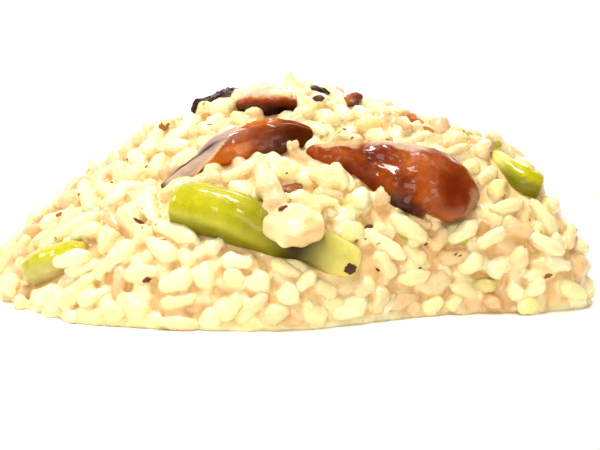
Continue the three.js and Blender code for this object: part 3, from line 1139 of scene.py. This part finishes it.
def scatter(lot, most, lift, crowding, tilt, clearance):
    """Spreads grains evenly over the heap, till there is no more room or there are enough.

    lift holds the least and the most height above the sauce, crowding is the share of its girth
    that a grain keeps from others, and clearance is what it keeps from the toppings."""
    placed = 0
    for _ in range(TRIES):
        if placed == most:
            break
        angle = draw.uniform(-math.pi, math.pi)
        climb = draw.random()
        radius = float(outline_radius(np.array(angle))) * (1 - climb**2) ** (1 / HEAP_ROUNDNESS)
        x, y = radius * math.cos(angle), radius * math.sin(angle)
        half = grain_sizes()
        normal = heap_normal(x, y)
        centre = on_heap(x, y, draw.uniform(*lift) - sauce_depth(x, y))
        centre.z = max(centre.z, WELL + half[2] * 0.7)
        axis = grain_axis(normal, draw.uniform(0, math.pi), draw.uniform(-tilt, tilt))
        tone = draw.random()
        bend = draw.uniform(-0.6, 0.6)
        if centre.z - abs(axis.z) * half[0] - half[2] < LOWEST:
            continue
        if not off_toppings(centre, axis, half[0] - half[1], clearance):
            continue
        if hides_topping(centre, axis, half):
            continue
        placed += lot.add(Grain(centre, axis, normal, half, tone, bend), crowding)


# Grains that are plain to see from the diner's side: two ends in the picture, width in millimetres,
# how far out of the sauce the middle lies, and tone.
PLAIN_GRAINS = (
    (361, 233, 402, 261, 3.4, 1.6, 0.8),
    (387, 218, 426, 243, 4.0, 1.4, 0.5),
    (446, 243, 478, 223, 3.6, 1.4, 0.8),
    (473, 210, 502, 226, 3.2, 1.2, 0.3),
    (476, 247, 505, 230, 3.6, 1.2, 0.6),
    (58, 244, 105, 220, 3.8, 1.8, 0.8),
    (106, 274, 138, 246, 4.4, 1.6, 0.8),
    (66, 308, 97, 280, 4.6, 1.6, 0.9),
    (45, 233, 70, 217, 3.6, 1.6, 0.7),
    (64, 271, 99, 263, 3.6, 3.4, 0.8),
    (70, 276, 104, 266, 3.4, 1.4, 0.7),
    (368, 176, 392, 187, 3.8, 2.4, 0.0),
    (373, 196, 389, 203, 4.2, 1.2, 0.1),
    (222, 185, 262, 165, 3.4, 1.2, 0.6),
    (287, 154, 299, 151, 2.9, 2.0, 0.1),
    (330, 168, 352, 195, 3.6, 1.4, 0.6),
    (312, 199, 340, 203, 2.8, 2.2, 0.1),
    (222, 263, 254, 265, 3.8, 1.2, 0.7),
    (150, 244, 178, 262, 4.0, 1.4, 0.8),
    (160, 290, 195, 276, 4.4, 1.0, 0.8),
    (120, 300, 150, 314, 4.6, 1.0, 0.9),
    (508, 298, 521, 286, 4.2, 1.0, 0.8),
    (524, 298, 541, 276, 4.2, 1.2, 0.8),
    (556, 284, 582, 296, 4.2, 1.0, 0.9),
    (527, 236, 560, 256, 3.8, 1.6, 0.8),
    (540, 258, 568, 268, 3.8, 1.2, 0.7),
    (500, 222, 532, 236, 4.2, 1.0, 0.1),
    (488, 212, 522, 205, 3.4, 1.2, 0.5),
    (457, 271, 483, 257, 4.0, 0.8, 0.8),
    (486, 274, 507, 261, 4.0, 1.0, 0.7),
    (436, 259, 470, 256, 3.6, 0.6, 0.1),
    (446, 310, 458, 293, 4.0, 0.8, 0.9),
    (420, 313, 440, 297, 4.4, 0.6, 0.9),
    (405, 219, 432, 228, 3.0, 0.8, 0.1),
    (330, 315, 366, 301, 4.4, 0.5, 0.8),
    (352, 296, 372, 281, 4.0, 0.5, 0.3),
    (314, 284, 334, 297, 3.4, 0.6, 0.3),
    (277, 301, 298, 289, 4.6, 0.9, 0.8),
    (250, 288, 270, 278, 4.4, 0.9, 0.8),
    (270, 264, 302, 277, 3.2, 0.9, 0.4),
    (218, 318, 243, 297, 4.8, 0.7, 0.9),
    (194, 280, 217, 275, 5.4, 0.9, 0.8),
    (206, 254, 225, 243, 3.4, 1.2, 0.7),
    (155, 227, 199, 244, 3.8, 1.6, 0.8),
    (88, 187, 95, 216, 4.2, 1.6, 0.9),
    (38, 304, 66, 291, 4.2, 1.0, 0.8),
    (108, 318, 129, 307, 4.4, 1.0, 0.9),
    (395, 280, 430, 274, 3.4, 0.4, 0.5),
    (299, 104, 309, 95, 3.2, 1.2, 0.2),
    (309, 108, 330, 105, 3.6, 1.4, 0.7),
    (334, 97, 343, 113, 3.2, 1.2, 0.9),
    (295, 82, 303, 88, 2.6, 0.4, 0.2),
    (212, 117, 236, 112, 4.4, 1.6, 0.8),
    (246, 120, 264, 117, 2.6, 1.6, 0.2),
    (118, 196, 146, 190, 3.6, 1.4, 0.7),
    (146, 200, 158, 226, 3.8, 1.6, 0.7),
)
CREST_GRAIN = ((-7.2, -12.4, 52.1), (-1.6, -11.9, 51.7))  # it lies on the thick slice


def grain_between(lot, start, end, width, tone):
    """Adds a grain that runs from one point to another."""
    centre = (start + end) / 2
    axis = (end - start).normalized()
    half = ((end - start).length / 2, width / 2, width * 0.44)
    normal = (outward(centre) - axis * outward(centre).dot(axis)).normalized()
    lot.add(Grain(centre, axis, normal, half, tone, bend=0.3))


plain_lot = GrainLot()
for x0, y0, x1, y1, width, lift, tone in PLAIN_GRAINS:
    ends = [seen_on_heap(x0, y0, lift), seen_on_heap(x1, y1, lift)]
    if None not in ends:
        grain_between(plain_lot, *ends, width, tone)

sunk_lot = GrainLot()
scatter(sunk_lot, MOST_SUNK, lift=(-0.2, 0.5), crowding=0.8, tilt=0.35, clearance=-0.6)

# The other top grains fill the room that the plain ones leave.
second_lot = GrainLot()
second_lot.spots, second_lot.radii = plain_lot.spots, plain_lot.radii * 0.8
scatter(second_lot, MOST_ON_TOP, lift=(0.6, 1.8), crowding=0.88, tilt=0.45, clearance=0.3)
grain_between(plain_lot, *map(Vector, CREST_GRAIN), width=2.6, tone=0.6)
top_grains = second_lot.grains + plain_lot.grains


def grain_template(u_segments, v_segments):
    """A blunt, slightly flattened grain of half length 1 along X, as points and faces."""
    bm = bmesh.new()
    bmesh.ops.create_uvsphere(bm, u_segments=u_segments, v_segments=v_segments, radius=1)
    for vert in bm.verts:
        x, y, z = vert.co
        ring = math.hypot(x, y)
        swell = (1 - abs(z) ** 3.2) ** 0.5 / ring if ring > 1e-6 else 0
        vert.co = (z, x * swell * (1 - 0.08 * z), y * swell)
    bmesh.ops.recalc_face_normals(bm, faces=bm.faces)
    bm.verts.index_update()
    points = np.array([v.co for v in bm.verts])
    faces = [[v.index for v in face.verts] for face in bm.faces]
    bm.free()
    return points, faces


def grains_mesh(name, grains, template):
    """One mesh of many grains. Each vertex keeps its grain's tone and its height in the grain."""
    points, faces = template
    count = len(points)
    corners = np.array([corner for face in faces for corner in face])
    sizes = np.array([len(face) for face in faces])
    places, tones, heights = [], [], []
    for grain in grains:
        across = grain.normal.cross(grain.axis).normalized()
        up = grain.axis.cross(across)
        lumps = 1 + 0.15 * np.sin(points[:, :1] * 3.0 + grain.tone * 40)
        lumps = lumps + 0.11 * np.sin(points[:, 1:2] * 4 + points[:, :1] * 5 + grain.tone * 90)
        local = points * np.array(grain.half) * np.hstack((np.ones_like(lumps), lumps, lumps))
        curve = grain.bend * (points[:, :1] ** 2 - 0.4)
        place = (
            np.array(grain.centre)
            + local[:, :1] * np.array(grain.axis)
            + (local[:, 1:2] + curve) * np.array(across)
            + local[:, 2:3] * np.array(up)
        )
        places.append(place)
        tones.append(np.full(count, grain.tone))
        heights.append(0.6 + 0.8 * points[:, 2])
    mesh = bpy.data.meshes.new(name)
    total = len(grains)
    mesh.vertices.add(total * count)
    mesh.vertices.foreach_set("co", np.concatenate(places).astype(np.float32).ravel())
    shift = (np.arange(total) * count)[:, None]
    mesh.loops.add(total * len(corners))
    mesh.loops.foreach_set("vertex_index", (corners[None, :] + shift).ravel())
    starts = np.concatenate(([0], np.cumsum(sizes)[:-1]))
    mesh.polygons.add(total * len(sizes))
    mesh.polygons.foreach_set(
        "loop_start", (starts[None, :] + np.arange(total)[:, None] * len(corners)).ravel()
    )
    mesh.update(calc_edges=True)
    mesh.validate()
    add_values(mesh, "tone", np.concatenate(tones))
    add_values(mesh, "height", np.concatenate(heights))
    add_values(mesh, "standing", np.concatenate(heights) * 0.4)
    return mesh


# Rice stuck together under thick sauce, as single lumps: path, half widths, half depths. The
# first three are a branch and a lobe that hang over the front asparagus, and the last is the grain
# that stands on the crown.
LUMPS = (
    (
        ((-8.4, -29.3, 38.2), (-7.4, -34.5, 35.6), (-6.2, -39.8, 32.4), (-4.2, -43.4, 29.6)),
        (1.6, 2.1, 2.5, 3.2),
        (1.6, 1.9, 2.2, 2.8),
    ),
    (
        ((-7.4, -43.6, 27.0), (-2.0, -46.0, 27.0), (4.8, -44.0, 27.2)),
        (3.6, 4.5, 4.0),
        (2.6, 3.4, 2.8),
    ),
    (((-6.4, -41.6, 31.0), (-6.3, -44.6, 25.0)), (2.2, 2.0), (2.0, 2.0)),
    (((-3.0, -39.4, 30.6), (4.6, -38.6, 29.6)), (2.8, 2.4), (2.6, 2.2)),
    (((-8.4, -29.9, 37.4), (1.9, -32, 36.1)), (2.0, 2.0), (1.9, 1.9)),
    (((-0.4, -31.8, 36.8), (4.9, -32.6, 35.6), (10.2, -32.8, 33.4)), (1.9, 2.8, 2.5), (1.8, 2.5, 2.3)),
    (((1.8, -37.8, 31), (8.2, -37.6, 30)), (1.6, 1.5), (1.5, 1.4)),
    (((7.0, -39.4, 26.8), (11.2, -36.2, 28.9)), (2.0, 1.9), (1.8, 1.8)),
    (((11, -33.6, 32.2), (14, -35.2, 29.6)), (2.4, 2.3), (2.2, 2.1)),
    (((-3.0, -3.0, 56.5), (-0.8, -3.0, 50.2)), (1.8, 2.1), (1.7, 1.9)),
)


LOBE_SHADE_CENTRE, LOBE_SHADE_SIZE = (5, -46.5, 23.4), (9, 6, 4.6)  # painted shade under the lobe's right end

BASE = WELL + 0.04  # the skin's flat underside
MENISCUS = 0.42  # how far the sauce stays below the tops of the grains on it
SKIN_DETAIL = 0.5  # the size of the cells that join the skin's parts
SKIN_VERTICES = 92000
SWELLS = ((0.3, 2.6), (0.14, 1.1))  # size and scale
SMALLEST_FOOT = 38  # every point of the heap's foot lies farther out than this
EDGE_RUN, EDGE_THICKNESS = 0.6, 0.35  # of the film of sauce round the foot


def heap_core():
    """The sauce that holds the rice: the heap's form, ending in a thin uneven lip of sauce."""
    bm = bmesh.new()
    bmesh.ops.create_uvsphere(bm, u_segments=140, v_segments=90, radius=1)
    for vert in bm.verts:
        x, y, z = vert.co
        angle = math.atan2(y, x)
        share = math.hypot(x, y)
        run = 0.7 + 0.9 * noise.noise(Vector((math.cos(angle), math.sin(angle), 0)) * 5)
        radius = (float(outline_radius(np.array(angle))) + run) * share
        x, y = radius * math.cos(angle), radius * math.sin(angle)
        lip = 1.1 * min(1, (1 - share) * 14) ** 0.5 + 0.4
        rise = max(float(heap_rise(x, y)), lip) if z >= -0.001 else 0.0
        vert.co = (x, y, BASE + rise)
    return bm


def joined_rice():
    """The core, the lumps and the grains that the sauce covers, which run through one another."""
    bm = heap_core()
    for path, widths, depths in LUMPS:
        lobe = swept(path, widths, depths, sides=24, rings=24, relief=lump_relief)
        scratch = mesh_from(lobe, "lobe")
        bm.from_mesh(scratch)
        bpy.data.meshes.remove(scratch)
    # The sauce climbs a little way up the grains that lie on top.
    wetted = [
        grain._replace(centre=grain.centre - grain.normal * MENISCUS) for grain in top_grains
    ]
    sunk = grains_mesh("sunk", sunk_lot.grains + wetted, grain_template(12, 8))
    bm.from_mesh(sunk)
    bpy.data.meshes.remove(sunk)
    for vert in bm.verts:
        vert.co.z = max(vert.co.z, BASE)
    return mesh_from(bm, "rough_rice")


def one_skin(rough_mesh):
    """One closed skin round a mesh whose parts run through one another."""
    body = bpy.data.objects.new("rough_rice", rough_mesh)
    bpy.context.scene.collection.objects.link(body)
    remesh = body.modifiers.new("skin", "REMESH")
    remesh.mode = "VOXEL"
    remesh.voxel_size = SKIN_DETAIL
    remesh.use_smooth_shade = True
    soften = body.modifiers.new("soften", "SMOOTH")
    soften.factor = 0.5
    soften.iterations = 1
    fine = body.evaluated_get(bpy.context.evaluated_depsgraph_get())
    share = min(1, SKIN_VERTICES / len(fine.to_mesh().vertices))
    fine.to_mesh_clear()
    thin = body.modifiers.new("thin", "DECIMATE")
    thin.ratio = share
    thinned = body.evaluated_get(bpy.context.evaluated_depsgraph_get())
    mesh = bpy.data.meshes.new_from_object(thinned)
    bpy.data.objects.remove(body)
    mesh.name = "rice_skin"
    return mesh


def make_rice_skin():
    """Sauce and sunk grains as one skin, with soft fillets where they meet."""
    mesh = one_skin(joined_rice())
    # The flat base rests on the plate, out of sight, so a few large faces do.
    bm = bmesh.new()
    bm.from_mesh(mesh)
    inner = [
        vert
        for vert in bm.verts
        if vert.co.z < BASE + 0.5 and all(face.normal.z < -0.999 for face in vert.link_faces)
    ]
    bmesh.ops.dissolve_verts(bm, verts=inner)
    bm.normal_update()
    for vert in bm.verts:
        vert.co += vert.normal * sum(waves(vert.co, size, scale) for size, scale in SWELLS)
        # The sauce thins out to a film at its edge.
        edge = 1.3 - (vert.co.z - BASE)
        if edge > 0 and vert.co.length > SMALLEST_FOOT:
            way = Vector((vert.co.x, vert.co.y, 0)).normalized()
            vert.co += way * min(edge, 1.1) * EDGE_RUN
        if vert.co.z < BASE + EDGE_THICKNESS:
            vert.co.z = BASE
    bm.to_mesh(mesh)
    bm.free()
    return mesh


def standing_out(mesh):
    """How far each vertex stands out of the surface round it: below 0 in a hollow, less if it looks
    down.
    """
    rounds = 24  # of levelling, which sets how wide the surface around it is
    points = vertex_array(mesh)
    count = len(points)
    ends = np.empty(len(mesh.edges) * 2, np.int32)
    mesh.edges.foreach_get("vertices", ends)
    first, second = ends[0::2], ends[1::2]
    share = 1 / np.bincount(ends, minlength=count)
    level = points.copy()
    for _ in range(rounds):
        for k in range(3):
            total = np.bincount(first, level[second, k], count)
            total += np.bincount(second, level[first, k], count)
            level[:, k] = total * share
    normals = np.empty(count * 3, np.float32)
    mesh.vertices.foreach_get("normal", normals)
    normals = normals.reshape(-1, 3)
    shaded = np.clip(-normals[:, 2] - 0.1, 0, 1)  # painted shade underneath, on faces that look down
    return ((points - level) * normals).sum(axis=1) - shaded


def colour_rice_skin(mesh):
    """Gives each vertex its height out of the sauce, its standing and its grain's tone."""
    points = vertex_array(mesh)
    x, y, z = points.T
    slope_x, slope_y = heap_slope(x, y)
    above = (z - WELL - heap_rise(x, y)) / np.sqrt(1 + slope_x**2 + slope_y**2)
    tree = kdtree.KDTree(len(sunk_lot.grains) * 3)
    for k, grain in enumerate(sunk_lot.grains):
        for s in (-0.6, 0, 0.6):
            tree.insert(grain.centre + grain.axis * grain.half[0] * s, k)
    tree.balance()
    # The nearest grain's tone counts most, by far.
    tones = []
    for p in points:
        near = [(1 / (gap + 0.3) ** 8, sunk_lot.grains[k].tone) for _, k, gap in tree.find_n(p, 4)]
        tones.append(sum(w * tone for w, tone in near) / sum(w for w, tone in near))
    # Where it thins out on the plate the sauce is as pale as the rice.
    rim = np.clip((WELL + 2.2 - z) / 1.6, 0, 1)
    add_values(mesh, "height", np.clip(np.maximum(above, rim * 0.7), -1, 3))
    add_values(mesh, "tone", tones)
    # Painted shade under the lobe's right end counts as a hollow, however far it stands out.
    lobe_shade_reach = np.linalg.norm((points - np.array(LOBE_SHADE_CENTRE)) / np.array(LOBE_SHADE_SIZE), axis=1)
    lobe_shade = np.clip(1.9 - 1.2 * lobe_shade_reach, 0, 1)
    add_values(mesh, "standing", standing_out(mesh) * (1 - rim) * (1 - lobe_shade) - lobe_shade * 0.85)


rice_finish = rice_and_sauce()
skin_mesh = make_rice_skin()
colour_rice_skin(skin_mesh)
rice_skin = mesh_piece("rice_skin", skin_mesh, rice_finish, "rice")
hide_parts("rice_heap")

top_mesh = grains_mesh("rice_grains", top_grains, grain_template(12, 8))
rice_grains = mesh_piece("rice_grains", top_mesh, rice_finish, "rice")
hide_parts("rice_heap")


# ---------- crumbs and flecks ----------


def surface_tree(pieces):
    """The pieces' surfaces, in millimetres, for finding where a line meets them."""
    points, faces = [], []
    for piece in pieces:
        start = len(points)
        points += [vert.co / MM for vert in piece.data.vertices]
        faces += [[start + v for v in face.vertices] for face in piece.data.polygons]
    return bvhtree.BVHTree.FromPolygons(points, faces)


rice_surface = surface_tree([rice_skin, rice_grains])
stalk = bpy.data.objects["asparagus_front_cooked"]
rice_and_stalk = surface_tree([rice_skin, rice_grains, stalk])


class FleckLot:
    """Small flat flecks that lie on the rice, made as one mesh."""

    def __init__(self):
        self.mesh = bmesh.new()
        self.tone = self.mesh.verts.layers.float.new("tone")

    def lay(self, surface, start, direction, half, heading, tone, detail=1):
        """Lays a fleck where a line meets the surface. half is its length, width and thickness."""
        spot, normal, _, _ = surface.ray_cast(start, direction)
        if spot is None or spot.z < WELL + 0.5:
            return
        axis = grain_axis(normal, heading, 0)
        across = normal.cross(axis)
        made = bmesh.ops.create_icosphere(self.mesh, subdivisions=detail, radius=1)["verts"]
        seed = Vector((draw.uniform(-50, 50), draw.uniform(-50, 50), draw.uniform(-50, 50)))
        for vert in made:
            vert[self.tone] = tone
            ragged = 0.5 * noise.noise(vert.co * 1.2 + seed) + 0.3 * noise.noise(vert.co * 3 + seed)
            x, y, z = vert.co * (1 + ragged)
            curl = 0.35 * half[2] * (x * x - 0.4)
            vert.co = (
                spot
                + axis * x * half[0]
                + across * y * half[1]
                + normal * (z * half[2] + curl)
            )

    def piece(self, name, material, slot):
        bmesh.ops.recalc_face_normals(self.mesh, faces=self.mesh.faces)
        return mesh_piece(name, mesh_from(self.mesh, name), material, slot)


def fleck_finish(name, dark, light):
    finish = Finish(name)
    mottle = finish.noise(900, 3)
    return finish.surface(
        {
            "Base Color": finish.mix(mottle * 0.6 + finish.value("tone") * 0.4, dark, light),
            "Roughness": finish.ramp(mottle, 0.3, 0.7, 0.45, 0.7),
            "Specular IOR Level": 0.2,
            "Coat Weight": 0.08,
            "Coat Roughness": 0.1,
            "Normal": finish.bump(mottle, 0.0002),
        }
    )


# Flecks seen from the diner's side: point in the picture, half length, half width, heading, tone.
DARK_FLECKS = (
    (140, 222, 1.5, 0.7, 0.1, 0.5),
    (147, 280, 1.1, 0.8, 1.2, 0.7),
    (283, 208, 1.2, 0.9, -0.8, 0.5),
    (369, 227, 1.1, 0.8, 0.6, 0.4),
    (350, 269, 1.3, 1.1, 0.4, 0.0),
    (378, 270, 0.5, 0.3, 0.0, 0.3),
    (458, 255, 0.8, 0.5, 0.3, 0.4),
    (319, 98, 1.3, 0.8, 0.0, 0.1),
    (426, 244, 0.5, 0.3, 0.8, 0.3),
    (420, 268, 0.35, 0.25, 0.0, 0.3),
)
BROWN_FLECKS = (
    (289, 188, 2.4, 1.2, 0.1, 0.0),
    (163, 127, 1.4, 1.0, 0.3, 0.3),
    (163, 240, 1.0, 0.3, 0.4, 0.5),
    (430, 130, 1.6, 0.5, -0.6, 0.8),
    (548, 276, 1.1, 0.5, 0.2, 0.4),
    (60, 214, 0.9, 0.4, 0.5, 0.6),
    (210, 125, 0.8, 0.5, 0.0, 0.5),
)
GREEN_FLECKS = (
    (498, 144, 0.8, 0.7, 0.0, 0.5),
    (405, 238, 0.8, 0.35, -0.6, 0.6),
    (378, 244, 0.5, 0.3, 0.4, 0.4),
    (465, 242, 0.7, 0.6, 0.2, 0.5),
    (176, 113, 0.9, 0.6, 0.0, 0.6),
    (537, 252, 0.9, 0.4, 0.9, 0.7),
    (322, 136, 0.6, 0.4, 1.1, 0.8),
)


SHOWN_FLECKS = {"dark": DARK_FLECKS, "brown": BROWN_FLECKS, "green": GREEN_FLECKS}
CRUMBS = {"dark": (46, 0.34), "brown": (60, 0.5), "green": (44, 0.55)}  # count, mean half length
OUTSIDE = 120  # farther out than anything on the plate


def make_flecks():
    lots = {}
    for key, flecks in SHOWN_FLECKS.items():
        lot = lots[key] = FleckLot()
        for px, py, length, width, heading, tone in flecks:
            half = (length, width, min(0.3, width * 0.4))
            toward = sight_line(px, py)
            lot.lay(rice_and_stalk, view_eye, toward, half, heading, tone, detail=4)
    # Fine crumbs lie all round the heap.
    for key, (count, size) in CRUMBS.items():
        for _ in range(count):
            turn = draw.uniform(-math.pi, math.pi)
            height = draw.uniform(0.03, 1)
            level = (1 - height**2) ** 0.5
            way = Vector((math.cos(turn) * level, math.sin(turn) * level, height))
            half = size * draw.uniform(0.6, 1.3)
            heading = draw.uniform(0, math.pi)
            start = Vector((0, 0, WELL + 12)) + way * OUTSIDE
            sizes = (half, half * 0.6, half * 0.35)
            lots[key].lay(rice_surface, start, -way, sizes, heading, draw.random())
    pepper = fleck_finish("pepper_flecks", tint(30, 12, 8), tint(132, 76, 40))
    crust = fleck_finish("browned_flecks", tint(84, 30, 8), tint(206, 132, 50))
    herb = fleck_finish("green_flecks", tint(136, 140, 20), tint(206, 206, 84))
    lots["dark"].piece("pepper_flecks", pepper, "mushroom_skin")
    lots["brown"].piece("browned_flecks", crust, "mushroom")
    lots["green"].piece("green_flecks", herb, "asparagus")


make_flecks()


# ---------- the table, the light and the camera ----------


SWEEP_WIDTH, SWEEP_FRONT = 5000, -2500
BEND_START, BEND_RADIUS = 1200, 500
SWEEP_TOP = 1800


def make_floor():
    """A sweep of paper: flat under the plate and curving up far behind it."""
    bm = bmesh.new()
    bend = [
        (BEND_START + BEND_RADIUS * math.sin(a), BEND_RADIUS - BEND_RADIUS * math.cos(a))
        for a in np.radians(range(0, 91, 6))
    ]
    flat = [(SWEEP_FRONT, 0), (BEND_START / 2, 0)]
    profile = flat + bend + [(BEND_START + BEND_RADIUS, SWEEP_TOP)]
    verts = [bm.verts.new((-SWEEP_WIDTH / 2, y, z)) for y, z in profile]
    edges = [bm.edges.new(pair) for pair in zip(verts, verts[1:])]
    wide = bmesh.ops.extrude_edge_only(bm, edges=edges)["geom"]
    moved = [part for part in wide if isinstance(part, bmesh.types.BMVert)]
    bmesh.ops.translate(bm, verts=moved, vec=(SWEEP_WIDTH, 0, 0))
    bmesh.ops.recalc_face_normals(bm, faces=bm.faces)
    mesh = mesh_from(bm, "paper_sweep")
    mesh.transform(Matrix.Scale(MM, 4))
    mesh.polygons.foreach_set("use_smooth", [True] * len(mesh.polygons))
    mesh.materials.append(plain_floor())
    sweep = bpy.data.objects.new("paper_sweep", mesh)
    bpy.context.scene.collection.objects.link(sweep)


LIT_SPOT = (0, 0, 0.03)
LIGHTS = (  # name, place, width and height, power, colour
    ("overhead", (-0.06, -0.02, 0.7), (0.3, 0.1), 5.3, (1, 0.98, 0.95)),
    ("window", (-0.62, -0.02, 0.4), (0.2, 0.2), 1.2, (1, 0.98, 0.95)),
    ("sparkle", (-0.05, -0.45, 0.5), (0.1, 0.05), 0.5, (1, 1, 1)),
    ("rim", (0.2, 0.6, 0.5), (0.4, 0.3), 1.2, (1, 0.99, 0.97)),
    ("fill", (-0.1, -0.8, 0.26), (0.5, 0.3), 2.55, (1, 0.96, 0.92)),
)


def area_light(name, place, size, power, colour):
    """A soft box that is turned towards the food."""
    data = bpy.data.lights.new(name, "AREA")
    data.shape = "RECTANGLE"
    data.size, data.size_y = size
    data.energy = power
    data.color = colour
    light = bpy.data.objects.new(name, data)
    light.location = place
    light.rotation_euler = (Vector(LIT_SPOT) - Vector(place)).to_track_quat("-Z", "Y").to_euler()
    bpy.context.scene.collection.objects.link(light)


make_floor()
for light in LIGHTS:
    area_light(*light)

world = bpy.data.worlds.new("studio")
world.use_nodes = True
world.node_tree.nodes["Background"].inputs["Color"].default_value = (1, 0.93, 0.82, 1)
world.node_tree.nodes["Background"].inputs["Strength"].default_value = 0.28
bpy.context.scene.world = world
bpy.context.scene.view_settings.view_transform = "Standard"

lens = bpy.data.cameras.new("diner")
lens.sensor_width = 36
lens.angle = VIEW_ANGLE
lens.clip_start = 0.01
camera = bpy.data.objects.new("diner", lens)
camera.location = view_eye * MM
camera.rotation_euler = (math.pi / 2 - VIEW_ELEVATION, 0, 0)
bpy.context.scene.collection.objects.link(camera)
bpy.context.scene.camera = camera
